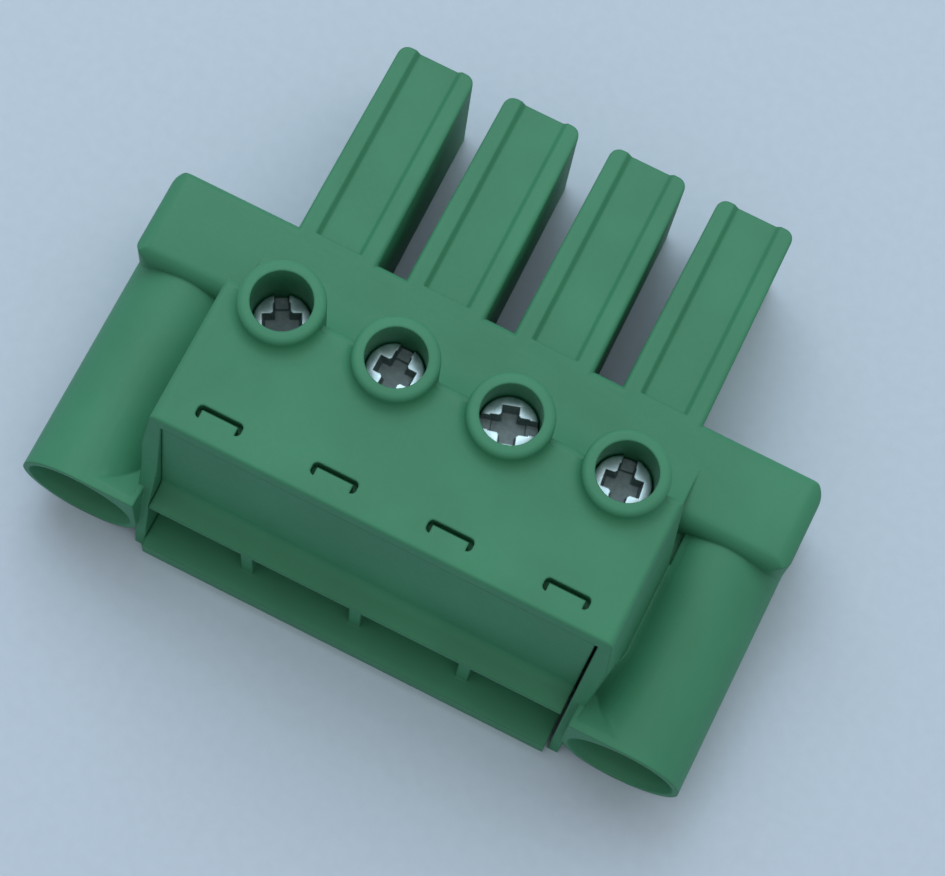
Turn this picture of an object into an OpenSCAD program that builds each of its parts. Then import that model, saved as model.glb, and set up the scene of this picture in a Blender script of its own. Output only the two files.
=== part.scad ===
// Pluggable screw-terminal block with screw flanges, four poles.
// X runs along the row of poles, +Y is the plug side, +Z is up. The origin is the middle of the base.

/* [Poles] */
// Distance between neighbouring poles
pitch = 7.62; // [7.5:0.01:7.8]
// From an outer screw axis to the side of the roof
block_side = 3.8; // [3.7:0.05:4.2]

/* [Heights] */
// Height of the prongs, the rear shelf and the flange shoulders
body_h = 9; // [8.9:0.05:9.6]
// Height of the clamp block's roof
roof_h = 16.65; // [16.2:0.05:18]
// Rise of the screw collars over the roof
collar_h = 1.15; // [0.8:0.05:1.6]
// Height of the ledge over the wire openings, at its lip
lip_h = 6.35; // [6.25:0.05:6.5]

/* [Lengths from the screw axes] */
// Forward to the roof's front edge
roof_reach = 9.66; // [9.4:0.02:10]
// Forward to the lip over the wire openings
lip_reach = 12.3; // [12:0.1:12.8]
// Forward to the front edge of the wire floor
floor_reach = 13.75; // [13.5:0.05:14.5]
// Forward to the open ends of the flange sleeves
sleeve_reach = 13.2; // [12:0.1:14]
// Back to the rear face that the prongs stand on
rear_reach = 7.75; // [7.5:0.05:8.5]
// Length of the prongs
prong_len = 14.21; // [13.8:0.01:16]

/* [Walls and gaps] */
// Thickness of the chamber floor and of the prong ends
wall = 1.2; // [1:0.05:1.4]
// Thickness of the roof over the front insert
roof_wall = 0.95; // [0.8:0.05:1.2]
// Thickness of the end walls beside the insert, at the roof
end_wall = 0.8; // [0.7:0.05:1]
// Thickness of the insert's floor
floor_wall = 1.7; // [1.5:0.05:1.8]
// Thickness of the insert's ribs at their front edge
rib_wall = 0.8; // [0.5:0.05:0.9]
// Gap between the insert and the right end wall
insert_gap = 0.2; // [0.15:0.01:0.35]
// Sliding gap between pieces that are pushed together
fit_gap = 0.1; // [0.06:0.01:0.15]

/* [Prongs] */
// Width of a prong at its root
prong_w = 5.64; // [5.4:0.02:6]
// Width lost over the prong's length, its draft
prong_draft = 0.3; // [0:0.05:0.5]
// Width of the channel along the top
channel_w = 3.3; // [2.4:0.05:3.4]
// Depth of that channel
channel_d = 0.35; // [0.2:0.05:0.6]
// Side of the square opening for a header pin
pin_hole = 1.8; // [1.4:0.05:2]

/* [Clamp screws] */
// Radius of the screwdriver bores
driver_r = 1.92; // [1.9:0.01:2]
// Wall round a screwdriver bore
collar_wall = 0.78; // [0.7:0.02:1]
// Radius of the screw thread
thread_r = 1.5; // [1.4:0.05:1.5]
// Radius of the screw head
head_r = 1.82; // [1.75:0.01:1.84]
// Height of the screw head
head_h = 2.2; // [1.8:0.1:2.4]
// Depth of the highest head below its rim
head_recess = 2.2; // [1.9:0.1:2.6]

/* [Contacts] */
// Thickness of the clamp frame's metal
frame_wall = 0.7; // [0.6:0.05:0.8]
// Width of the clamp frame
frame_w = 5.6; // [5.2:0.05:5.7]
// Depth of the clamp frame, along the wire
frame_d = 5.2; // [4.8:0.05:5.4]
// Thickness of the frame's threaded top
nut_h = 1.6; // [1.2:0.1:1.8]
// Thickness of the plate under each screw
plate_h = 1; // [0.9:0.05:1.2]
// Thickness of the socket's arms
arm_t = 0.6; // [0.4:0.05:0.7]
// Height of the socket's arms
arm_h = 3.2; // [2.6:0.1:3.4]
// Gap between the arms where they grip a pin
grip_gap = 0.9; // [0.7:0.05:1.1]
// Thickness of the steel over-spring
spring_t = 0.25; // [0.2:0.01:0.3]

/* [Flange screws] */
// From an outer screw axis to the flange screw beside it
flange_side = 7.5; // [7.5:0.05:8]
// Outer radius of the flange sleeves
sleeve_r = 4; // [3.9:0.02:4.2]
// Inner radius of the flange sleeves
sleeve_bore_r = 3.3; // [3.1:0.02:3.4]
// Height of the flange screw axes
flange_z = 4.2; // [4.2:0.05:4.6]
// Depth of the shoulders, along the screw
shoulder_d = 6.45; // [6:0.05:7.2]
// Radius of the flange screw heads
flange_head_r = 2.75; // [2.6:0.05:2.9]
// Distance a flange screw can be pushed forward
flange_travel = 6.1; // [5:0.1:6.2]

/* [Hidden] */
$fn = 64;

poles = 4;
eps = 0.01;            // overlap of pieces that are fused, and run-out of cuts
touch_gap = 0.05;      // gap between pieces that rest against each other
housing_green = [0.28, 0.55, 0.42];
tin = [0.78, 0.79, 0.8];
spring_steel = [0.55, 0.56, 0.58];
zinc = [0.85, 0.87, 0.9];

// Stations along Y
total_l = floor_reach + rear_reach + prong_len;
floor_y = -total_l / 2;
screw_y = floor_y + floor_reach;
roof_y = screw_y - roof_reach;
lip_y = screw_y - lip_reach;
sleeve_y = screw_y - sleeve_reach;
rear_y = screw_y + rear_reach;
tip_y = rear_y + prong_len;

// Stations along X
outer_pole_x = (poles - 1) * pitch / 2;
roof_x = outer_pole_x + block_side;
bay_x = roof_x - end_wall;
insert_left = -bay_x + touch_gap;
insert_right = bay_x - insert_gap;
flange_x = outer_pole_x + flange_side;
side_x = flange_x + sleeve_r;
function pole_x(i) = (i - (poles + 1) / 2) * pitch;

// Block form
rim_h = roof_h + collar_h;
collar_r = driver_r + collar_wall;
rear_wall_back = 0.3;  // rear wall of the block, behind the screw axes
rear_round = 0.6;      // round of the roof's rear edge
cove_reach = 5.1;      // end of the cove under the rear wall, behind the screw axes
cove_r = 5.4;
front_round = 0.25;
flare = 0.096;         // width the side walls gain for each millimetre down
flare_foot = 7;        // height where the side walls stop widening
corner_r = 1.3;        // rounds of the shoulders

// Clamp frames and their chambers
frame_x = frame_w / 2;
frame_front = screw_y - frame_d / 2;
frame_rear = screw_y + frame_d / 2;
chamber_top = body_h - 0.75;
frame_top = chamber_top - touch_gap;
frame_floor = wall + frame_wall;
nut_z = frame_top - nut_h;
chamber_x = frame_x + fit_gap;
chamber_front = frame_front - touch_gap;
chamber_rear = frame_rear + fit_gap;

// Wire openings
opening_top = lip_h - 0.45;
funnel_top = opening_top + wall;
insert_rear = chamber_front - touch_gap;
wire_half = 2.4;       // half width of the narrow end of each wire funnel
funnel_y = lip_y + 4.5;

// Screws: how far each head stands below the highest one, and the plates that hang on them
head_drops = [1.6, 0.5, 0, 0.5];
plate_clear = 0.45;    // from the highest plate up to the frame's top
thread_len = rim_h - head_recess - head_h - touch_gap - (nut_z - plate_clear);
neck_r = 0.85;
button_r = 1.25;
button_h = 0.35;
function head_top(i) = rim_h - head_recess - head_drops[i - 1];
function plate_top(i) = nut_z - plate_clear - head_drops[i - 1];

// Sockets
socket_z = body_h / 2;
passage_x = chamber_x;
passage_rear = chamber_rear + 2.2;
socket_x = 1.95;
socket_h = arm_h + 2 * spring_t + 0.5;
arm_bend = frame_rear + 0.7;
arm_root = frame_rear + 3;
arm_grip = tip_y - wall - 2;
arm_end = tip_y - wall - 0.6;
arm_root_x = 0.9;

// Flange screws
flange_seat = rear_y - 3.7;
flange_head_h = 2;
flange_hole_r = thread_r + fit_gap;
flange_tip = rear_y - 0.2;
flange_head_y = flange_seat - flange_travel - fit_gap;

function arc(c, r, from, to, steps = 8) =
    [for (k = [0 : steps]) let (a = from + (to - from) * k / steps) c + r * [cos(a), sin(a)]];

// Extrudes a Y-Z outline along X, from x0 to x1
module along_x(x0, x1) {
    translate([x0, 0, 0])
        rotate([90, 0, 90])
            linear_extrude(x1 - x0) children();
}

// Extrudes an X-Z outline along Y, from y0 to y1
module along_y(y0, y1) {
    translate([0, y1, 0])
        rotate([90, 0, 0])
            linear_extrude(y1 - y0) children();
}

module span(x, y, z) {
    translate([x[0], y[0], z[0]])
        cube([x[1] - x[0], y[1] - y[0], z[1] - z[0]]);
}

module rounded_rect(x, y, r) {
    translate([x[0] + r, y[0]])
        square([x[1] - x[0] - 2 * r, y[1] - y[0]]);
    translate([x[0], y[0] + r])
        square([x[1] - x[0], y[1] - y[0] - 2 * r]);
    for (cx = [x[0] + r, x[1] - r], cy = [y[0] + r, y[1] - r])
        translate([cx, cy]) circle(r);
}

module each_pole() {
    for (i = [1 : poles])
        translate([pole_x(i), 0, 0]) children();
}

// ---- Housing: one green moulding ----

// Side view of the clamp block: flat roof, rear wall with a cove at its foot, and end walls whose front edge runs
// forward to the foot
module block_side_view() {
    rear = screw_y + rear_wall_back;
    cove_y = screw_y + cove_reach;
    cove_start = 180 + acos((cove_reach - rear_wall_back) / cove_r);
    polygon(concat(
        [[floor_y + 0.4, 0], [cove_y, 0]],
        arc([cove_y, body_h + cove_r], cove_r, 270, cove_start, 10),
        arc([rear - rear_round, roof_h - rear_round], rear_round, 0, 90, 6),
        arc([roof_y + front_round, roof_h - front_round], front_round, 90, 175, 5),
        [[roof_y - 0.45, roof_h - 3.15], [roof_y - 1.15, lip_h + 3.35], [lip_y + 0.1, lip_h + 0.05],
         [floor_y + 0.85, lip_h / 2]]
    ));
}

// Front view of the clamp block, with the flare of its side walls
module block_front_view() {
    foot_x = roof_x + (roof_h - flare_foot) * flare;
    edge = 0.4;
    polygon(concat(
        [[-foot_x, 0], [foot_x, 0], [foot_x, flare_foot]],
        arc([roof_x - edge, roof_h - edge], edge, 5, 90, 5),
        arc([-roof_x + edge, roof_h - edge], edge, 90, 175, 5),
        [[-foot_x, flare_foot]]
    ));
}

// Plan of the clamp block: the flare dies out towards the front edge, and ends at the rear wall
module block_plan() {
    foot_x = roof_x + (roof_h - flare_foot) * flare;
    cove_x = roof_x + 0.05;
    for (side = [0, 1])
        mirror([side, 0, 0])
            polygon([[0, floor_y], [roof_x - 0.15, floor_y], [roof_x, lip_y], [foot_x, roof_y + 2.5],
                     [foot_x, screw_y - 1], [cove_x, screw_y + rear_wall_back], [cove_x, screw_y + cove_reach],
                     [0, screw_y + cove_reach]]);
}

module clamp_block() {
    intersection() {
        along_x(-side_x, side_x) block_side_view();
        along_y(floor_y, rear_y) block_front_view();
        linear_extrude(rim_h) block_plan();
    }
}

// Collar with a rounded rim; its column runs down behind the block
module collar() {
    rim_r = collar_wall / 2;
    translate([0, screw_y, 0])
        rotate_extrude()
            polygon(concat(
                [[0, chamber_top], [collar_r, chamber_top]],
                arc([collar_r - rim_r, rim_h - rim_r], rim_r, 0, 90, 6),
                [[0, rim_h]]
            ));
}

// Soft foot of a collar, where the roof in front of it is flat
module collar_foot() {
    foot = 0.6;
    intersection() {
        translate([0, screw_y, 0])
            rotate_extrude()
                polygon(concat(
                    [[collar_r - 0.2, roof_h - 0.2], [collar_r + foot, roof_h - 0.2], [collar_r + foot, roof_h]],
                    arc([collar_r + foot, roof_h + foot], foot, 270, 180, 5),
                    [[collar_r - 0.2, roof_h + foot]]
                ));
        span([-pitch / 2, pitch / 2], [roof_y, screw_y - rear_wall_back], [0, rim_h]);
    }
}

// Shelf and shoulders: flush on top, with rounded outer edges
module low_body() {
    front = rear_y - shoulder_d;
    front_r = 1.1;
    rear_r = 0.6;
    intersection() {
        along_y(floor_y, rear_y) rounded_rect([-side_x, side_x], [0, body_h], corner_r);
        union() {
            linear_extrude(body_h)
                rounded_rect([-side_x, side_x], [front, rear_y], corner_r);
            span([-roof_x, roof_x], [chamber_front, rear_y], [0, body_h]);
        }
        along_x(-side_x, side_x)
            polygon(concat(
                [[chamber_front, 0], [rear_y, 0]],
                arc([rear_y - rear_r, body_h - rear_r], rear_r, 0, 90, 5),
                arc([front + front_r, body_h - front_r], front_r, 90, 180, 6),
                [[front, body_h / 2], [chamber_front, body_h / 2]]
            ));
    }
    span([-roof_x, roof_x], [chamber_front, screw_y + 1], [0, body_h]);
    along_y(screw_y - 1, front + front_r)
        intersection() {
            block_front_view();
            translate([-side_x, 0]) square([2 * side_x, body_h - front_r]);
        }
}

module flange_sleeve(side) {
    translate([side * flange_x, sleeve_y, flange_z])
        rotate([-90, 0, 0])
            cylinder(h = sleeve_reach + rear_reach - 1, r = sleeve_r);
}

// Web between a sleeve and the end wall: the floor of the valley between them, which rises to the crown of the
// sleeve at the mouth
module mouth_web(side) {
    crown = flange_z + sleeve_r - touch_gap;
    valley_z = crown - 0.55;
    back = rear_y - shoulder_d + 1;
    x = [side * (roof_x - 0.3), side * flange_x];
    along_x(min(x), max(x))
        polygon([[sleeve_y, flange_z], [sleeve_y, crown], [sleeve_y + 0.5, crown], [sleeve_y + 2.4, valley_z],
                 [back, valley_z], [back, flange_z]]);
}

// Prong with drafted sides, rounded edges and a shallow channel between two rails
module prong() {
    root = prong_w / 2;
    tip = root - prong_draft / 2;
    edge = 0.4;
    tip_r = 0.7;
    slope = 0.3;
    half = channel_w / 2;
    difference() {
        intersection() {
            linear_extrude(body_h)
                polygon(concat(
                    [[-root, rear_y - 1], [root, rear_y - 1]],
                    arc([tip - tip_r, tip_y - tip_r], tip_r, 0, 90, 6),
                    arc([-tip + tip_r, tip_y - tip_r], tip_r, 90, 180, 6)
                ));
            along_y(rear_y - 1, tip_y) rounded_rect([-root, root], [0, body_h], edge);
        }
        along_y(rear_y, tip_y + 1)
            polygon([[-half + slope, body_h - channel_d], [half - slope, body_h - channel_d],
                     [half, body_h], [half, body_h + 1], [-half, body_h + 1], [-half, body_h]]);
    }
}

// Space inside one pole: screw bore, clamp chamber, passage and socket, down to the pin opening
module pole_space() {
    translate([0, screw_y, chamber_top - eps])
        cylinder(h = rim_h - chamber_top + 1, r = driver_r);
    span([-chamber_x, chamber_x], [chamber_front - 1, chamber_rear], [wall, chamber_top]);
    z0 = socket_z - socket_h / 2;
    z1 = socket_z + socket_h / 2;
    span([-passage_x, passage_x], [chamber_rear - eps, passage_rear], [z0, z1]);
    span([-socket_x, socket_x], [passage_rear - eps, tip_y - wall], [z0, z1]);
    half = pin_hole / 2;
    span([-half, half], [tip_y - wall - eps, tip_y + 1], [socket_z - half, socket_z + half]);
}

// Bay for the insert: open in front and below, closed by the roof and the end walls
module insert_bay() {
    span([-bay_x, bay_x], [floor_y - 1, chamber_front], [-1, funnel_top + fit_gap]);
    span([-bay_x, bay_x], [floor_y - 1, screw_y - collar_r - 1], [funnel_top, roof_h - roof_wall]);
}

// Slit round a spring tongue in the roof: a bar across with a short leg at each end
module tongue_slit() {
    half = 1.5;
    slit = 0.32;
    y0 = roof_y + 1.26;
    y1 = y0 + 0.86;
    translate([0, 0, roof_h - roof_wall - 1])
        linear_extrude(roof_wall + 2)
            difference() {
                rounded_rect([-half, half], [y0, y1], slit);
                translate([-half + slit, y0 - 1])
                    square([2 * (half - slit), y1 - y0 - slit + 1]);
            }
}

module flange_bore(side) {
    lead = 0.8;
    lead_r = sleeve_bore_r + 0.3;
    translate([side * flange_x, 0, flange_z])
        rotate([-90, 0, 0]) {
            translate([0, 0, sleeve_y - 1])
                cylinder(h = flange_seat - sleeve_y + 1, r = sleeve_bore_r);
            translate([0, 0, sleeve_y - eps])
                cylinder(h = lead, r1 = lead_r, r2 = sleeve_bore_r);
            translate([0, 0, sleeve_y])
                cylinder(h = rear_y - sleeve_y + 1, r = flange_hole_r);
        }
}

module housing() {
    color(housing_green)
        difference() {
            union() {
                clamp_block();
                low_body();
                each_pole() {
                    collar();
                    collar_foot();
                    prong();
                }
                for (side = [-1, 1]) {
                    flange_sleeve(side);
                    mouth_web(side);
                }
            }
            insert_bay();
            each_pole() {
                pole_space();
                tongue_slit();
            }
            flange_bore(-1);
            flange_bore(1);
        }
}

// ---- Wire entry: the insert that closes the block's front and guides the wires ----

module wire_entry() {
    panel_foot_y = roof_y - 0.85;
    panel_t = 1.2;
    lid_t = 1;
    top = roof_h - roof_wall - touch_gap;
    fillet = 0.8;
    foot_z = lip_h + 0.15;
    color(housing_green) {
        along_x(insert_left, insert_right)
            polygon(concat(
                [[roof_y - 0.02, top], [panel_foot_y, foot_z + fillet]],
                arc([panel_foot_y - fillet, foot_z + fillet], fillet, 0, -86, 6),
                [[lip_y, lip_h], [lip_y, opening_top], [insert_rear, opening_top],
                 [insert_rear, funnel_top], [panel_foot_y + panel_t, funnel_top],
                 [roof_y + panel_t, top - lid_t], [roof_y + 3, top - lid_t], [roof_y + 3, top]]
            ));
        span([insert_left, insert_right], [floor_y, insert_rear], [0, floor_wall]);
        for (k = [-1 : 1])
            translate([k * pitch, 0, 0]) rib();
        span([outer_pole_x + wire_half, insert_right], [funnel_y, insert_rear], [floor_wall - eps, opening_top + eps]);
        span([insert_left, -outer_pole_x - wire_half], [funnel_y, insert_rear],
             [floor_wall - eps, opening_top + eps]);
    }
}

// Rib between two wire openings: thin in front, widening to guide the wire into its clamp
module rib() {
    mouth = rib_wall / 2;
    back = pitch / 2 - wire_half;
    translate([0, 0, floor_wall - eps])
        linear_extrude(opening_top - floor_wall + 2 * eps)
            polygon([[-mouth, lip_y + 0.1], [mouth, lip_y + 0.1], [mouth, funnel_y - 2], [back, funnel_y],
                     [back, insert_rear], [-back, insert_rear], [-back, funnel_y], [-mouth, funnel_y - 2]]);
}

// ---- Contact: clamp frame and socket, folded from one tin-plated strip ----

module contact(i) {
    inner = frame_x - frame_wall;
    back_h = 2.6;
    z0 = socket_z - arm_h / 2;
    color(tin)
        translate([pole_x(i), 0, 0]) {
            difference() {
                span([-frame_x, frame_x], [frame_front, frame_rear], [wall, frame_top]);
                span([-inner, inner], [frame_front - 1, frame_rear - frame_wall], [frame_floor, nut_z]);
                span([-inner, inner], [frame_front - 1, frame_rear + 1], [frame_floor + back_h, nut_z]);
                translate([0, screw_y, nut_z - 1])
                    cylinder(h = nut_h + 2, r = thread_r + touch_gap);
            }
            for (side = [0, 1])
                mirror([side, 0, 0])
                    translate([0, 0, z0]) linear_extrude(arm_h) arm_outline();
        }
}

// Plan of one socket arm: from the frame's side wall in to the pin, closing at the grip and opening at the end
module arm_outline() {
    inner = frame_x - frame_wall;
    grip = grip_gap / 2;
    polygon([[inner, frame_rear - frame_wall], [frame_x, frame_rear - frame_wall], [frame_x, arm_bend],
             [arm_root_x + arm_t, arm_root], [grip + arm_t, arm_grip], [grip + arm_t + 0.35, arm_end],
             [grip + 0.35, arm_end], [grip, arm_grip], [arm_root_x, arm_root], [inner, arm_bend]]);
}

// ---- Over-spring: a steel saddle that presses the two arms together ----

module contact_spring(i) {
    grip = grip_gap / 2 + arm_t + touch_gap;
    root = arm_root_x + arm_t + touch_gap;
    z0 = socket_z - arm_h / 2;
    z1 = socket_z + arm_h / 2 + touch_gap + spring_t;
    start = arm_root + 0.4;
    finish = arm_grip;
    slope = (grip - root) / (arm_grip - arm_root);
    function leg_x(y) = root + slope * (y - arm_root);
    color(spring_steel)
        translate([pole_x(i), 0, 0]) {
            for (side = [0, 1])
                mirror([side, 0, 0])
                    translate([0, 0, z0])
                        linear_extrude(z1 - z0)
                            polygon([[leg_x(start), start], [leg_x(start) + spring_t, start],
                                     [leg_x(finish) + spring_t, finish], [leg_x(finish), finish]]);
            translate([0, 0, z1 - spring_t])
                linear_extrude(spring_t)
                    polygon([[-leg_x(start) - spring_t / 2, start], [leg_x(start) + spring_t / 2, start],
                             [leg_x(start + 4) + spring_t / 2, start + 4],
                             [-leg_x(start + 4) - spring_t / 2, start + 4]]);
        }
}

// ---- Clamp plate: presses the wire down, held on the screw's neck ----

module clamp_plate(i) {
    half = frame_x - frame_wall - fit_gap;
    reach = frame_d / 2 - frame_wall - fit_gap;
    top = plate_top(i);
    color(zinc)
        translate([pole_x(i), screw_y, top - plate_h])
            difference() {
                span([-half, half], [-reach, reach], [0, plate_h]);
                translate([0, 0, -1])
                    cylinder(h = plate_h + 2, r = neck_r + fit_gap);
                translate([0, 0, -1])
                    cylinder(h = 1 + button_h + fit_gap, r = button_r + fit_gap);
            }
}

// ---- Clamp screw: cheese head with a slot and a cross, neck and riveted end ----

slot_turns = [118, 89, 18, 97]; // heading of each slot, in degrees from +X
slot_w = 1;
cross_w = 1.15;
cross_l = 2.6;
slot_d = 0.8;
cross_d = 1.1;

module clamp_screw(i) {
    top = head_top(i);
    under = top - head_h;
    tip = under - thread_len;
    edge = 0.2;
    color(zinc)
        translate([pole_x(i), screw_y, 0])
            difference() {
                union() {
                    translate([0, 0, under]) cylinder(h = head_h - edge, r = head_r);
                    translate([0, 0, top - edge]) cylinder(h = edge, r1 = head_r, r2 = head_r - edge);
                    translate([0, 0, tip]) cylinder(h = thread_len + eps, r = thread_r);
                    translate([0, 0, tip - touch_gap - plate_h]) cylinder(h = plate_h + 1, r = neck_r);
                    translate([0, 0, tip - touch_gap - plate_h]) cylinder(h = button_h, r = button_r);
                }
                translate([0, 0, top])
                    rotate([0, 0, slot_turns[i - 1]]) {
                        cube([2 * head_r + 1, slot_w, 2 * slot_d], center = true);
                        cube([cross_l, cross_w, 2 * cross_d], center = true);
                        cube([cross_w, cross_l, 2 * cross_d], center = true);
                    }
            }
}

// ---- Flange screw: cheese head deep in the sleeve, plain shank through the shoulder ----

module flange_screw(side) {
    point = 0.4;
    slot = 0.8;
    color(zinc)
        translate([side * flange_x, 0, flange_z])
            rotate([-90, 0, 0])
                difference() {
                    union() {
                        translate([0, 0, flange_head_y - flange_head_h])
                            cylinder(h = flange_head_h, r = flange_head_r);
                        translate([0, 0, flange_head_y - eps])
                            cylinder(h = flange_tip - flange_head_y - point + eps, r = thread_r);
                        translate([0, 0, flange_tip - point])
                            cylinder(h = point, r1 = thread_r, r2 = thread_r - point);
                    }
                    translate([0, 0, flange_head_y - flange_head_h])
                        cube([slot, 2 * flange_head_r + 1, 2 * slot], center = true);
                }
}

housing();
wire_entry();
contact(1);  // contact_1
contact(2);  // contact_2
contact(3);  // contact_3
contact(4);  // contact_4
contact_spring(1);  // contact_spring_1
contact_spring(2);  // contact_spring_2
contact_spring(3);  // contact_spring_3
contact_spring(4);  // contact_spring_4
clamp_plate(1);  // clamp_plate_1
clamp_plate(2);  // clamp_plate_2
clamp_plate(3);  // clamp_plate_3
clamp_plate(4);  // clamp_plate_4
clamp_screw(1);  // clamp_screw_1
clamp_screw(2);  // clamp_screw_2
clamp_screw(3);  // clamp_screw_3
clamp_screw(4);  // clamp_screw_4
flange_screw(-1);  // flange_screw_left
flange_screw(1);  // flange_screw_right
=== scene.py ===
# Pluggable screw-terminal block for a four-pin header: green mouldings, clamps, contacts and screws.
import math

import bmesh
import bpy
from mathutils import Matrix, Vector


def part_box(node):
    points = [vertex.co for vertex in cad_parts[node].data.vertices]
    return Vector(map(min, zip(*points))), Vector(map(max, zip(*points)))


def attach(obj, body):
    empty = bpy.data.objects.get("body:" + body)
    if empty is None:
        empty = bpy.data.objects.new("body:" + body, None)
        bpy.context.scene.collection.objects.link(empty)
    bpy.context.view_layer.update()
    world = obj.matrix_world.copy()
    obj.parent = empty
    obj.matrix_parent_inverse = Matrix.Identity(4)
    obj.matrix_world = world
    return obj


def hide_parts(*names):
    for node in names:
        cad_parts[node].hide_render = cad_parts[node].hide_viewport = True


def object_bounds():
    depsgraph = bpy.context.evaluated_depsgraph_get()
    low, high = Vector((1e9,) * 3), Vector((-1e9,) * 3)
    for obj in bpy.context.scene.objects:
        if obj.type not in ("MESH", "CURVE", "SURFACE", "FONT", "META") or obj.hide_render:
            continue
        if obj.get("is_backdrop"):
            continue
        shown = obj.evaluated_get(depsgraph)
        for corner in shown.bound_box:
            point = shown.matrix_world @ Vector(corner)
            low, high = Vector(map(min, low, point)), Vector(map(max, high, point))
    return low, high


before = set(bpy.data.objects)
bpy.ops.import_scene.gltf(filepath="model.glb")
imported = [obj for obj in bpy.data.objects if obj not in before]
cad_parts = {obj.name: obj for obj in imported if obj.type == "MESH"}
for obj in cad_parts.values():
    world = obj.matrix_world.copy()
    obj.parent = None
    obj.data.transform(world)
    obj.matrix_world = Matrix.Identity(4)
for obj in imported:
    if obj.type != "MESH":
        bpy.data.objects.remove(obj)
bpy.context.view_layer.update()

# ---------------------------------------------------------------------------------------------
# Housing. One injection moulding of green polyamide: clamp block with four screwdriver collars,
# flange shoulders with round sleeves, and four hollow prongs that carry the sockets. Everything
# else is pushed into it from the front.
# ---------------------------------------------------------------------------------------------

MM = 0.001
MOULDED_CORNER = 28     # degrees; edges of a moulding that are sharper stay crisp


def srgb(code):
    """Hex colour to linear RGBA."""
    values = [int(code[i:i + 2], 16) / 255 for i in (0, 2, 4)]
    return [v / 12.92 if v <= 0.04045 else ((v + 0.055) / 1.055) ** 2.4 for v in values] + [1.0]


def add(tree, kind, links=(), **settings):
    """Adds a node. Settings name its properties or its input sockets; links are (socket, output) pairs."""
    made = tree.nodes.new(kind)
    for name, value in settings.items():
        if hasattr(made, name):
            setattr(made, name, value)
        else:
            made.inputs[name.replace("_", " ")].default_value = value
    for socket, output in links:
        tree.links.new(output, made.inputs[socket])
    return made


def new_material(name, **sockets):
    """A material with its node tree and shader, and the shader's plain values set."""
    material = bpy.data.materials.new(name)
    material.use_nodes = True
    tree = material.node_tree
    shader = tree.nodes["Principled BSDF"]
    for socket, value in sockets.items():
        shader.inputs[socket.replace("_", " ")].default_value = value
    return material, tree, shader


def two_tone(tree, factor, dark, light, low=0.3, high=0.7):
    """Colours between two hex values, by a pattern's factor."""
    ramp = add(tree, "ShaderNodeValToRGB", [("Fac", factor)])
    first, last = ramp.color_ramp.elements
    first.position, first.color = low, srgb(dark)
    last.position, last.color = high, srgb(light)
    return ramp.outputs["Color"]


def moulded_polyamide():
    """Polyamide 66 from a spark-eroded mould: a matt skin whose fine grain breaks up the light, faint cloudy
    flow marks in the green, and edges that the mould leaves very slightly round."""
    material, tree, shader = new_material("moulded_green_polyamide", Roughness=0.58, IOR=1.53,
                                          Specular_IOR_Level=0.32)
    place = add(tree, "ShaderNodeTexCoord").outputs["Object"]
    # Flow marks are some 6 mm across. The mould's grain is nearer 0.05 mm and is drawn 0.25 mm coarse,
    # to show.
    flow = add(tree, "ShaderNodeTexNoise", [("Vector", place)], Scale=1 / (6 * MM), Detail=3.0)
    grain = add(tree, "ShaderNodeTexNoise", [("Vector", place)], Scale=1 / (0.25 * MM), Detail=2.0)
    tree.links.new(two_tone(tree, flow.outputs["Fac"], "367b5b", "3a8361"), shader.inputs["Base Color"])
    sheen = add(tree, "ShaderNodeMapRange", [("Value", grain.outputs["Fac"])], To_Min=0.5, To_Max=0.66)
    tree.links.new(sheen.outputs["Result"], shader.inputs["Roughness"])
    edge = add(tree, "ShaderNodeBevel", samples=6, Radius=0.22 * MM)
    skin = add(tree, "ShaderNodeBump",
               [("Height", grain.outputs["Fac"]), ("Normal", edge.outputs["Normal"])],
               Strength=0.2, Distance=0.02 * MM)
    tree.links.new(skin.outputs["Normal"], shader.inputs["Normal"])
    return material


def smooth_by_angle(work, degrees):
    """Rounds shade smoothly, and corners sharper than the angle stay crisp."""
    for face in work.faces:
        face.smooth = True
    for edge in work.edges:
        edge.smooth = edge.calc_face_angle(0) < math.radians(degrees)


def stand_in(name, mesh, body, slot, *nodes):
    """Puts a finished mesh in the scene as a piece that rides on a body and stands for CAD nodes."""
    piece = bpy.data.objects.new(name, mesh)
    bpy.context.scene.collection.objects.link(piece)
    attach(piece, body)
    if nodes:
        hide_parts(*nodes)
    return piece


def plain_mesh(host):
    """The result of an object's modifiers as a plain mesh; the object itself is removed."""
    mesh = bpy.data.meshes.new_from_object(host.evaluated_get(bpy.context.evaluated_depsgraph_get()))
    bpy.data.objects.remove(host)
    return mesh


def cut_away(blank, cutters, degrees):
    """A mesh with each cutter's mesh taken out of it in turn; the cut faces keep the cutter's material."""
    host = bpy.data.objects.new("blank", blank)
    bpy.context.scene.collection.objects.link(host)
    tools = []
    for cutter in cutters:
        tool = bpy.data.objects.new("cutter", cutter)
        bpy.context.scene.collection.objects.link(tool)
        tools.append(tool)
        cut = host.modifiers.new("cut", "BOOLEAN")
        cut.operation = "DIFFERENCE"
        cut.object = tool
        cut.solver = "EXACT"
        cut.material_mode = "TRANSFER"
    mesh = plain_mesh(host)
    for tool in tools:
        bpy.data.objects.remove(tool)
    work = bmesh.new()
    work.from_mesh(mesh)
    smooth_by_angle(work, degrees)
    work.to_mesh(mesh)
    work.free()
    return mesh


def closed_mesh(name, work, material):
    """The mesh of a finished solid, with its faces turned outward, in one material."""
    bmesh.ops.recalc_face_normals(work, faces=work.faces)
    mesh = bpy.data.meshes.new(name)
    work.to_mesh(mesh)
    work.free()
    mesh.materials.append(material)
    return mesh


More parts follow.
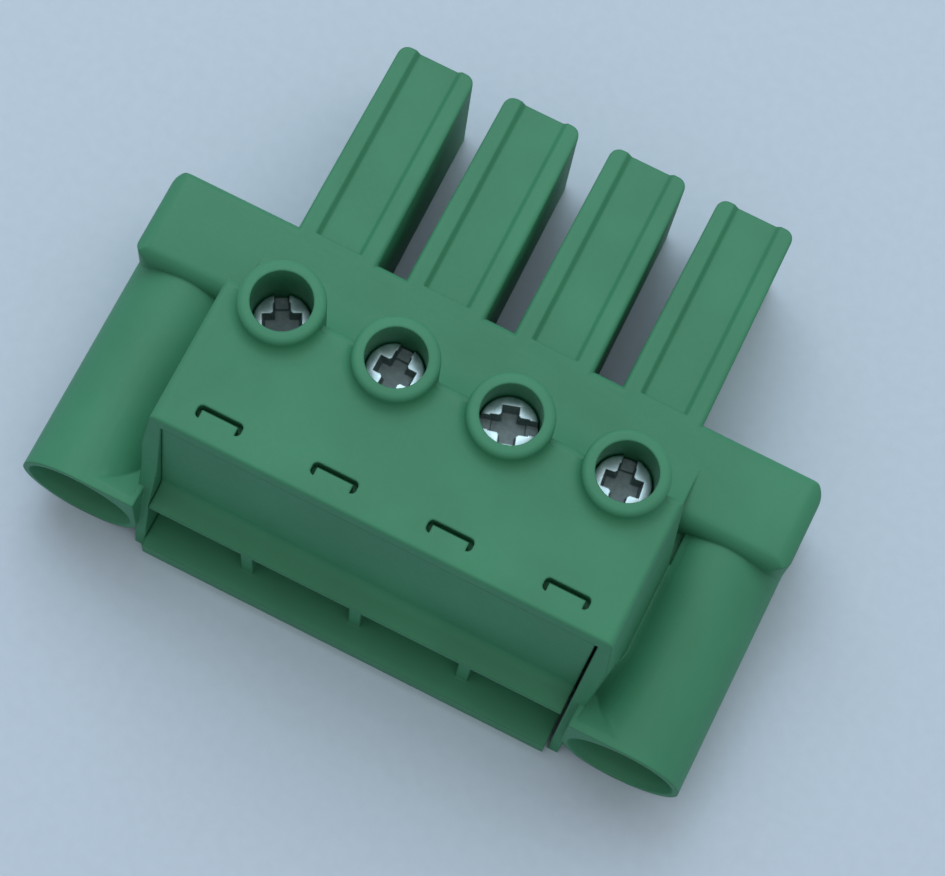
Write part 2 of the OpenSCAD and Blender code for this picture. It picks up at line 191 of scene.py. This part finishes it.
def turned(name, profile, material, steps=72):
    """A solid turned round Z from (radius, height) points, which start and end on the axis."""
    work = bmesh.new()
    rings = []
    for radius, height in profile:
        if radius == 0:
            rings.append([work.verts.new((0, 0, height))] * steps)
        else:
            turns = [math.tau * k / steps for k in range(steps)]
            rings.append([work.verts.new((radius * math.cos(turn), radius * math.sin(turn), height))
                          for turn in turns])
    for lower, upper in zip(rings, rings[1:]):
        for k in range(steps):
            loop = (lower[k], lower[(k + 1) % steps], upper[(k + 1) % steps], upper[k])
            work.faces.new(list(dict.fromkeys(loop)))
    return closed_mesh(name, work, material)


def moulding(node, name, material, cutters=()):
    """A merged copy of a moulded CAD node, with smooth rounds and flat faces, that stands for it."""
    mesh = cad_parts[node].data.copy()
    work = bmesh.new()
    work.from_mesh(mesh)
    bmesh.ops.remove_doubles(work, verts=work.verts, dist=0.002 * MM)
    bmesh.ops.dissolve_limit(work, angle_limit=math.radians(0.5), verts=work.verts, edges=work.edges)
    smooth_by_angle(work, MOULDED_CORNER)
    work.to_mesh(mesh)
    work.free()
    mesh.materials.clear()
    mesh.materials.append(material)
    if cutters:
        mesh = cut_away(mesh, cutters, MOULDED_CORNER)
    return stand_in(name, mesh, "housing", "green_nylon", node)


SLEEVE_RADIUS = 4.0 * MM
SLEEVE_REACH = 13.2 * MM    # from the line of the clamp screws forward to the sleeves' mouths
SHOULDER_FRONT = 1.3 * MM   # from that line back to the shoulders
LIP_REACH = 12.3 * MM       # from that line forward to the lip of the roof
ROOF_HEIGHT = 16.65 * MM
WALL_INWARD = 3.703 * MM    # from a sleeve's axis to the end wall, at the height of the roof
WALL_FLARE = 0.096          # outward for each millimetre down
FLARE_DEPTH = 9.65 * MM     # below the roof, where the wall stops widening
FLARE_REACH = 5.1 * MM      # behind the lip, where the flare is full
FLARE_LAST = 1.0 * MM       # before the line of the clamp screws, where the flare starts to die out again
FLARE_END = 0.3 * MM        # behind that line, where it has died out
VALLEY_START = 0.5 * MM     # from a sleeve's mouth back to the valley's front end, at the sleeve's crown
VALLEY_SLOPE = 1.5          # of that end, back for each millimetre down
VALLEY_FOOT = 3.0 * MM      # above a sleeve's axis, where it meets the end wall
VALLEY_FILLET = 0.14 * MM
FILLET_STEPS = 4
CROWN_STEPS = 16
SLEEVE_CLEAR = 0.004 * MM   # between the cut and the sleeve's own skin
AIR_HEIGHT = 0.6 * MM       # of the cut above the sleeve's crown
NOTCH_OUTER = 2.72 * MM     # from a sleeve's axis to the notch's near side
NOTCH_FRONT = 2.8 * MM      # to its far side, where the flare is full
NOTCH_INNER = 3.65 * MM     # to its far side, where the flare has died out
NOTCH_FOOT = 2.5 * MM       # above a sleeve's axis


def beside_sleeve(side):
    """A sleeve's axis (x and z), the sense of x from there to the end wall, and y of the line of the clamp
    screws."""
    low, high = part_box(f"flange_screw_{side}")
    axis_x = (low[0] + high[0]) / 2
    axis_z = (low[2] + high[2]) / 2
    front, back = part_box("clamp_screw_1")
    return axis_x, axis_z, math.copysign(1, -axis_x), (front[1] + back[1]) / 2


def loft(work, rings):
    """The faces of a solid through rings of vertices."""
    work.faces.new(rings[0])
    work.faces.new(rings[-1])
    for lower, upper in zip(rings, rings[1:]):
        for k in range(len(lower)):
            after = (k + 1) % len(lower)
            work.faces.new((lower[k], lower[after], upper[after], upper[k]))


def valley_ring(work, side, station, slope):
    """One cross-section of the air above a valley: down the flared end wall, round the fillet at its foot
    and up over the sleeve to its crown."""
    axis_x, axis_z, inward, screw_line = beside_sleeve(side)
    crown = axis_z + SLEEVE_RADIUS

    def along(z):
        return screw_line + station + slope * (crown - z)

    def wall(z):
        opened = min(1, max(0, (along(z) - screw_line + LIP_REACH) / FLARE_REACH))
        return WALL_INWARD - WALL_FLARE * min(ROOF_HEIGHT - z, opened * FLARE_DEPTH)

    foot = wall(axis_z + VALLEY_FOOT) - VALLEY_FILLET
    rise = math.sqrt((SLEEVE_RADIUS + VALLEY_FILLET) ** 2 - foot ** 2)
    touch = math.atan2(rise, foot)
    outline = [(wall(crown + AIR_HEIGHT), crown + AIR_HEIGHT), (wall(crown), crown)]
    for k in range(FILLET_STEPS + 1):
        angle = touch * k / FILLET_STEPS
        outline.append((foot + VALLEY_FILLET * math.cos(angle),
                        axis_z + rise - VALLEY_FILLET * math.sin(angle)))
    skin = SLEEVE_RADIUS + SLEEVE_CLEAR
    for k in range(1, CROWN_STEPS + 1):
        angle = touch + (math.pi / 2 - touch) * k / CROWN_STEPS
        outline.append((skin * math.cos(angle), axis_z + skin * math.sin(angle)))
    outline.append((0, crown + AIR_HEIGHT))
    return [work.verts.new((axis_x + inward * x, along(z), z)) for x, z in outline]


def valley(side, material):
    """The air between a sleeve's back and the end wall beside it, with a sloping front end behind the
    mouth."""
    work = bmesh.new()
    loft(work, [valley_ring(work, side, VALLEY_START - SLEEVE_REACH, VALLEY_SLOPE),
                valley_ring(work, side, FLARE_REACH - LIP_REACH, 0),
                valley_ring(work, side, SHOULDER_FRONT, 0)])
    bmesh.ops.triangulate(work, faces=work.faces)
    return closed_mesh("valley", work, material)


def notch(side, material):
    """The corner of air where the valley meets the shoulder and the flare of the end wall has died out."""
    axis_x, axis_z, inward, screw_line = beside_sleeve(side)
    plan = [(NOTCH_OUTER, -FLARE_LAST), (NOTCH_FRONT, -FLARE_LAST), (NOTCH_INNER, FLARE_END),
            (NOTCH_INNER, SHOULDER_FRONT), (NOTCH_OUTER, SHOULDER_FRONT)]
    work = bmesh.new()
    loft(work, [[work.verts.new((axis_x + inward * x, screw_line + y, axis_z + z)) for x, y in plan]
                for z in (NOTCH_FOOT, SLEEVE_RADIUS + AIR_HEIGHT)])
    return closed_mesh("notch", work, material)


polyamide = moulded_polyamide()
moulding("housing", "green_housing", polyamide,
         [air(side, polyamide) for side in ("left", "right") for air in (valley, notch)])

# ---------------------------------------------------------------------------------------------
# Wire entry. A second green moulding, pressed into the block's open front: slanting panel, ledge,
# floor, and the ribs that part the four wires and lead each of them into its clamp.
# ---------------------------------------------------------------------------------------------

moulding("wire_entry", "green_wire_entry", polyamide)

# ---------------------------------------------------------------------------------------------
# Clamp screws. Cold-headed steel, zinc plated: a cheese head with a slot and a wide cross in one
# recess, a rolled M3 thread, and a thin neck whose end is riveted over to hold the clamp plate.
# ---------------------------------------------------------------------------------------------

POLES = range(1, 5)
METAL_CORNER = 30           # degrees; edges of a turned part that are sharper stay crisp
HEAD_HEIGHT = 2.2 * MM
HEAD_EDGE = 0.15 * MM
THREAD_LENGTH = 7.2 * MM
THREAD_CORE = 1.22 * MM
THREAD_RIDGE = 0.265 * MM
THREAD_PITCH = 0.5 * MM
THREAD_LEAD = 0.3 * MM      # from the blank's end to the ridge
THREAD_PLAIN = 0.8 * MM     # of the threaded length, without a ridge
NECK_RADIUS = 0.85 * MM
RIVET_RADIUS = 1.25 * MM
RIVET_HEIGHT = 0.35 * MM
SLOT_WIDTH = 1.0 * MM
SLOT_DEPTH = 0.8 * MM
CROSS_WIDTH = 1.15 * MM
CROSS_LENGTH = 2.6 * MM
CROSS_DEPTH = 1.05 * MM
CENTRE_RADIUS = 0.93 * MM
PUNCH_RISE = 0.5 * MM       # of a punch above the head it cuts
PUNCH_TAPER = 0.8
SLOT_TURNS = (118, 89, 18, 97)  # degrees


def bright_zinc():
    """Bright blue-passivated zinc over steel: a soft mirror with cloudy crystals in the plating and marks
    from the barrel."""
    material, tree, shader = new_material("bright_zinc_plate", Metallic=1.0)
    place = add(tree, "ShaderNodeTexCoord").outputs["Object"]
    # Plating clouds are about 0.8 mm across, and the marks from tumbling in the barrel about 0.1 mm.
    cloud = add(tree, "ShaderNodeTexNoise", [("Vector", place)], Scale=1 / (0.8 * MM), Detail=4.0)
    marks = add(tree, "ShaderNodeTexNoise", [("Vector", place)], Scale=1 / (0.1 * MM), Detail=2.0)
    tree.links.new(two_tone(tree, cloud.outputs["Fac"], "adcad1", "d6f0f5"), shader.inputs["Base Color"])
    gloss = add(tree, "ShaderNodeMapRange", [("Value", cloud.outputs["Fac"])], To_Min=0.34, To_Max=0.5)
    tree.links.new(gloss.outputs["Result"], shader.inputs["Roughness"])
    edge = add(tree, "ShaderNodeBevel", samples=4, Radius=0.12 * MM)
    dents = add(tree, "ShaderNodeBump",
                [("Height", marks.outputs["Fac"]), ("Normal", edge.outputs["Normal"])],
                Strength=0.2, Distance=0.01 * MM)
    tree.links.new(dents.outputs["Normal"], shader.inputs["Normal"])
    return material


def forged_recess():
    """Inside of a punched recess: half metallic, duller than the zinc, and in a darker grey that is painted
    shade, standing for the shade that falls into the recess."""
    material, tree, shader = new_material("painted_shade_forged_recess", Metallic=0.5)
    place = add(tree, "ShaderNodeTexCoord").outputs["Object"]
    mottle = add(tree, "ShaderNodeTexNoise", [("Vector", place)], Scale=1 / (0.4 * MM), Detail=4.0)
    # Painted shade: these greys are darker than the zinc's to stand for the shade inside the recess; the
    # mottle between them is random.
    tree.links.new(two_tone(tree, mottle.outputs["Fac"], "6d8083", "8b9b9d"), shader.inputs["Base Color"])
    dull = add(tree, "ShaderNodeMapRange", [("Value", mottle.outputs["Fac"])], To_Min=0.5, To_Max=0.7)
    tree.links.new(dull.outputs["Result"], shader.inputs["Roughness"])
    edge = add(tree, "ShaderNodeBevel", samples=4, Radius=0.12 * MM)
    pits = add(tree, "ShaderNodeBump",
               [("Height", mottle.outputs["Fac"]), ("Normal", edge.outputs["Normal"])],
               Strength=0.3, Distance=0.02 * MM)
    tree.links.new(pits.outputs["Normal"], shader.inputs["Normal"])
    return material


def punch(name, width, length, depth, turn, material):
    """The end of a heading punch: a bar across the axis, from above the head's top down to its depth, with
    sides that close in a little. Its ends close in too, unless it is a slot's and runs out of the head."""
    ends = PUNCH_TAPER if length <= CROSS_LENGTH else 1
    corners = [(-1, -1), (1, -1), (1, 1), (-1, 1)]
    low = [(x * length / 2 * ends, y * width / 2 * PUNCH_TAPER, -depth) for x, y in corners]
    high = [(x * length / 2, y * width / 2, PUNCH_RISE) for x, y in corners]
    mesh = bpy.data.meshes.new(name)
    mesh.from_pydata(low + high, [], [(3, 2, 1, 0), (4, 5, 6, 7), (0, 1, 5, 4), (1, 2, 6, 5), (2, 3, 7, 6),
                                      (3, 0, 4, 7)])
    mesh.transform(Matrix.Rotation(math.radians(turn), 4, "Z"))
    mesh.materials.append(material)
    return mesh


def thread_tree():
    """Geometry Nodes for the ridge of a rolled thread: a diamond section swept up a right-hand spiral
    round Z."""
    tree = bpy.data.node_groups.new("rolled_thread", "GeometryNodeTree")
    for name in ("Core Radius", "Length", "Pitch", "Ridge"):
        tree.interface.new_socket(name=name, in_out="INPUT", socket_type="NodeSocketFloat")
    tree.interface.new_socket(name="Finish", in_out="INPUT", socket_type="NodeSocketMaterial")
    tree.interface.new_socket(name="Geometry", in_out="OUTPUT", socket_type="NodeSocketGeometry")
    size = add(tree, "NodeGroupInput").outputs
    turns = add(tree, "ShaderNodeMath", [(0, size["Length"]), (1, size["Pitch"])], operation="DIVIDE")
    spiral = add(tree, "GeometryNodeCurveSpiral",
                 [("Rotations", turns.outputs["Value"]), ("Start Radius", size["Core Radius"]),
                  ("End Radius", size["Core Radius"]), ("Height", size["Length"])], Resolution=28)
    upright = add(tree, "GeometryNodeSetCurveNormal", [("Curve", spiral.outputs["Curve"])], mode="Z_UP")
    section = add(tree, "GeometryNodeCurvePrimitiveCircle", [("Radius", size["Ridge"])], Resolution=4)
    ridge = add(tree, "GeometryNodeCurveToMesh",
                [("Curve", upright.outputs["Curve"]), ("Profile Curve", section.outputs["Curve"])],
                Fill_Caps=True)
    whole = add(tree, "GeometryNodeRealizeInstances", [("Geometry", ridge.outputs["Mesh"])])
    coated = add(tree, "GeometryNodeSetMaterial",
                 [("Geometry", whole.outputs["Geometry"]), ("Material", size["Finish"])])
    add(tree, "NodeGroupOutput", [("Geometry", coated.outputs["Geometry"])])
    return tree


def thread(tree, length, material):
    """One thread ridge as a plain mesh, from z = 0 up."""
    host = bpy.data.objects.new("thread", bpy.data.meshes.new("thread"))
    bpy.context.scene.collection.objects.link(host)
    maker = host.modifiers.new("thread", "NODES")
    maker.node_group = tree
    wanted = {"Core Radius": THREAD_CORE, "Length": length, "Pitch": THREAD_PITCH, "Ridge": THREAD_RIDGE,
              "Finish": material}
    for item in tree.interface.items_tree:
        if item.in_out == "INPUT":
            maker[item.identifier] = wanted[item.name]
    return plain_mesh(host)


zinc = bright_zinc()
# The recess material carries painted shade: its darker grey stands for the shade inside the slots and
# crosses.
recess = forged_recess()
rolled_thread = thread_tree()
for number, turn in zip(POLES, SLOT_TURNS):
    node = f"clamp_screw_{number}"
    low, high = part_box(node)
    radius = (high[0] - low[0]) / 2
    place = Matrix.Translation(((low[0] + high[0]) / 2, (low[1] + high[1]) / 2, high[2]))
    foot = low[2] - high[2]
    under = -HEAD_HEIGHT
    end = under - THREAD_LENGTH
    blank = turned(node, [
        (0, foot), (RIVET_RADIUS - 0.1 * MM, foot), (RIVET_RADIUS, foot + 0.1 * MM),
        (RIVET_RADIUS, foot + RIVET_HEIGHT), (NECK_RADIUS, foot + RIVET_HEIGHT), (NECK_RADIUS, end),
        (THREAD_CORE - 0.2 * MM, end), (THREAD_CORE, end + 0.2 * MM), (THREAD_CORE, under - 0.3 * MM),
        (THREAD_CORE + 0.15 * MM, under), (radius - 0.1 * MM, under), (radius, under + 0.1 * MM),
        (radius, -HEAD_EDGE), (radius - HEAD_EDGE * 0.3, -HEAD_EDGE * 0.3), (radius - HEAD_EDGE, 0), (0, 0),
    ], zinc)
    mesh = cut_away(blank, [
        turned("centre", [(0, -CROSS_DEPTH - 0.08 * MM), (CENTRE_RADIUS * 0.75, -CROSS_DEPTH + 0.02 * MM),
                          (CENTRE_RADIUS, PUNCH_RISE), (0, PUNCH_RISE)], recess),
        punch("slot", SLOT_WIDTH, 2 * radius + 1 * MM, SLOT_DEPTH, turn, recess),
        punch("cross", CROSS_WIDTH, CROSS_LENGTH, CROSS_DEPTH, turn, recess),
        punch("cross", CROSS_WIDTH, CROSS_LENGTH, CROSS_DEPTH, turn + 90, recess),
    ], METAL_CORNER)
    mesh.transform(place)
    stand_in(f"{node}_body", mesh, node, "zinc_steel", node)
    ridge = thread(rolled_thread, THREAD_LENGTH - THREAD_PLAIN, zinc)
    ridge.transform(place @ Matrix.Translation((0, 0, end + THREAD_LEAD)))
    stand_in(f"{node}_thread", ridge, node, "zinc_steel")

# ---------------------------------------------------------------------------------------------
# Clamp plates. Stamped steel plates, zinc plated like the screws they hang on, that press the
# stripped wire down on the floor of the clamp frame.
# ---------------------------------------------------------------------------------------------


def dress(node, material):
    """Gives a CAD node its finish."""
    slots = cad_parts[node].data.materials
    slots.clear()
    slots.append(material)


for number in POLES:
    dress(f"clamp_plate_{number}", zinc)

# ---------------------------------------------------------------------------------------------
# Contacts. Each clamp frame and its two socket arms are stamped and folded from one strip of
# copper alloy with a matt tin coat. They stand in the housing's chambers.
# ---------------------------------------------------------------------------------------------


def strip_lines(tree, apart, run, detail):
    """Pattern of the fine lines on rolled or brushed strip: how far apart they are, and how long."""
    place = add(tree, "ShaderNodeTexCoord").outputs["Object"]
    drawn = add(tree, "ShaderNodeMapping", [("Vector", place)])
    drawn.inputs["Scale"].default_value = (1 / apart, 1 / run, 1 / apart)
    return add(tree, "ShaderNodeTexNoise", [("Vector", drawn.outputs["Vector"])], Scale=1.0, Detail=detail)


def matt_tin():
    """Matt tin on rolled copper alloy: warm light grey, with the strip's rolling lines along its length."""
    material, tree, shader = new_material("matt_tin_plate", Metallic=1.0)
    lines = strip_lines(tree, 0.08 * MM, 3 * MM, 2.0)
    tree.links.new(two_tone(tree, lines.outputs["Fac"], "bdbcb6", "d6d5d0"), shader.inputs["Base Color"])
    satin = add(tree, "ShaderNodeMapRange", [("Value", lines.outputs["Fac"])], To_Min=0.32, To_Max=0.46)
    tree.links.new(satin.outputs["Result"], shader.inputs["Roughness"])
    edge = add(tree, "ShaderNodeBevel", samples=4, Radius=0.06 * MM)
    ripple = add(tree, "ShaderNodeBump",
                 [("Height", lines.outputs["Fac"]), ("Normal", edge.outputs["Normal"])],
                 Strength=0.15, Distance=0.01 * MM)
    tree.links.new(ripple.outputs["Normal"], shader.inputs["Normal"])
    return material


tin = matt_tin()
for number in POLES:
    dress(f"contact_{number}", tin)

# ---------------------------------------------------------------------------------------------
# Over-springs. A saddle of bare spring steel sits over each pair of socket arms and presses them
# on the header's pin.
# ---------------------------------------------------------------------------------------------


def bare_spring_steel():
    """Hardened strip, blank and lightly brushed: darker than the tin, with fine lines and a keen
    highlight."""
    material, tree, shader = new_material("bare_spring_steel", Metallic=1.0)
    lines = strip_lines(tree, 0.05 * MM, 2 * MM, 3.0)
    tree.links.new(two_tone(tree, lines.outputs["Fac"], "85878b", "9fa1a4"), shader.inputs["Base Color"])
    satin = add(tree, "ShaderNodeMapRange", [("Value", lines.outputs["Fac"])], To_Min=0.24, To_Max=0.36)
    tree.links.new(satin.outputs["Result"], shader.inputs["Roughness"])
    return material


spring_steel = bare_spring_steel()
for number in POLES:
    dress(f"contact_spring_{number}", spring_steel)

# ---------------------------------------------------------------------------------------------
# Flange screws. Zinc-plated steel with a deep slot, captive in the sleeves: a plain shank slides
# in the shoulder and the M3 thread at its end goes into the header's flange.
# ---------------------------------------------------------------------------------------------

FLANGE_HEAD_HEIGHT = 2.0 * MM
FLANGE_SLOT_WIDTH = 0.8 * MM
FLANGE_SLOT_DEPTH = 0.8 * MM
FLANGE_SHANK_RADIUS = 1.5 * MM
FLANGE_THREAD_LENGTH = 6.0 * MM
FLANGE_THREAD_ENDS = 0.3 * MM   # of the threaded length, without a ridge
FLANGE_POINT = 0.4 * MM

for side in ("left", "right"):
    node = f"flange_screw_{side}"
    low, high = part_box(node)
    radius = (high[0] - low[0]) / 2
    # Turned round Z with the head's top at z = 0, then laid along Y with the head in front.
    place = Matrix.Translation(((low[0] + high[0]) / 2, low[1], (low[2] + high[2]) / 2)) @ Matrix.Rotation(
        math.radians(90), 4, "X")
    foot = low[1] - high[1]
    under = -FLANGE_HEAD_HEIGHT
    start = foot + FLANGE_THREAD_LENGTH + FLANGE_THREAD_ENDS
    blank = turned(node, [
        (0, foot), (THREAD_CORE - FLANGE_POINT * 0.6, foot), (THREAD_CORE, foot + FLANGE_POINT),
        (THREAD_CORE, start), (FLANGE_SHANK_RADIUS, start + 0.25 * MM), (FLANGE_SHANK_RADIUS, under),
        (radius - 0.1 * MM, under), (radius, under + 0.1 * MM), (radius, -0.2 * MM), (radius - 0.2 * MM, 0),
        (0, 0),
    ], zinc)
    # The slot's faces take the recess material, whose darker grey is painted shade.
    slot = punch("slot", FLANGE_SLOT_WIDTH, 2 * radius + 1 * MM, FLANGE_SLOT_DEPTH, 0, recess)
    mesh = cut_away(blank, [slot], METAL_CORNER)
    mesh.transform(place)
    stand_in(f"{node}_body", mesh, node, "zinc_steel", node)
    ridge = thread(rolled_thread, FLANGE_THREAD_LENGTH - FLANGE_POINT - FLANGE_THREAD_ENDS, zinc)
    ridge.transform(place @ Matrix.Translation((0, 0, foot + FLANGE_POINT + 0.1 * MM)))
    stand_in(f"{node}_thread", ridge, node, "zinc_steel")

# ---------------------------------------------------------------------------------------------
# Table, light and camera. The block lies on a pale blue-grey laminate, under the soft cool light
# of a window behind its left end, a wide light overhead and the even light of the room.
# ---------------------------------------------------------------------------------------------

TABLE_HALF = 0.8
BLOCK_MIDDLE = Vector((0, 0, 0.009))
CAMERA_PLACE = Vector((13.904, -51.707, 172.549)) * MM
CAMERA_TURN = (16.396, -3.628, 26.398)  # degrees


def pale_laminate():
    """Matt laminate: pale blue-grey, with a fine stipple that only softens the light."""
    material, tree, shader = new_material("pale_blue_grey_laminate", Roughness=0.75, IOR=1.5)
    place = add(tree, "ShaderNodeTexCoord").outputs["Object"]
    stipple = add(tree, "ShaderNodeTexNoise", [("Vector", place)], Scale=1 / (0.8 * MM), Detail=2.0)
    tree.links.new(two_tone(tree, stipple.outputs["Fac"], "b4c4d2", "b7c7d5"), shader.inputs["Base Color"])
    return material


table_mesh = bpy.data.meshes.new("table")
corners = ((-1, -1), (1, -1), (1, 1), (-1, 1))
table_mesh.from_pydata([(x * TABLE_HALF, y * TABLE_HALF, 0) for x, y in corners], [], [(0, 1, 2, 3)])
table_mesh.materials.append(pale_laminate())
table = bpy.data.objects.new("table", table_mesh)
bpy.context.scene.collection.objects.link(table)
table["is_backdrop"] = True


def soft_box(name, place, size, watts, colour):
    """A square soft light that looks at the block."""
    lamp = bpy.data.lights.new(name, "AREA")
    lamp.energy = watts
    lamp.size = size
    lamp.color = srgb(colour)[:3]
    holder = bpy.data.objects.new(name, lamp)
    holder.location = place
    holder.rotation_euler = (BLOCK_MIDDLE - Vector(place)).to_track_quat("-Z", "Y").to_euler()
    bpy.context.scene.collection.objects.link(holder)


soft_box("window", (-0.35, 0.45, 0.75), 0.7, 3.9, "e2eefc")
soft_box("ceiling", (0.1, 0.3, 1.0), 1.4, 4.3, "f1f4f8")

room = bpy.data.worlds.new("room")
room.use_nodes = True
room.node_tree.nodes["Background"].inputs["Color"].default_value = srgb("edeeee")
room.node_tree.nodes["Background"].inputs["Strength"].default_value = 0.6
bpy.context.scene.world = room

lens = bpy.data.cameras.new("camera")
lens.sensor_width = 36.0
lens.lens = 104.78
camera = bpy.data.objects.new("camera", lens)
camera.location = CAMERA_PLACE
camera.rotation_euler = [math.radians(angle) for angle in CAMERA_TURN]
bpy.context.scene.collection.objects.link(camera)
bpy.context.scene.camera = camera

bpy.context.scene.view_settings.view_transform = "Standard"
low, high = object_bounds()
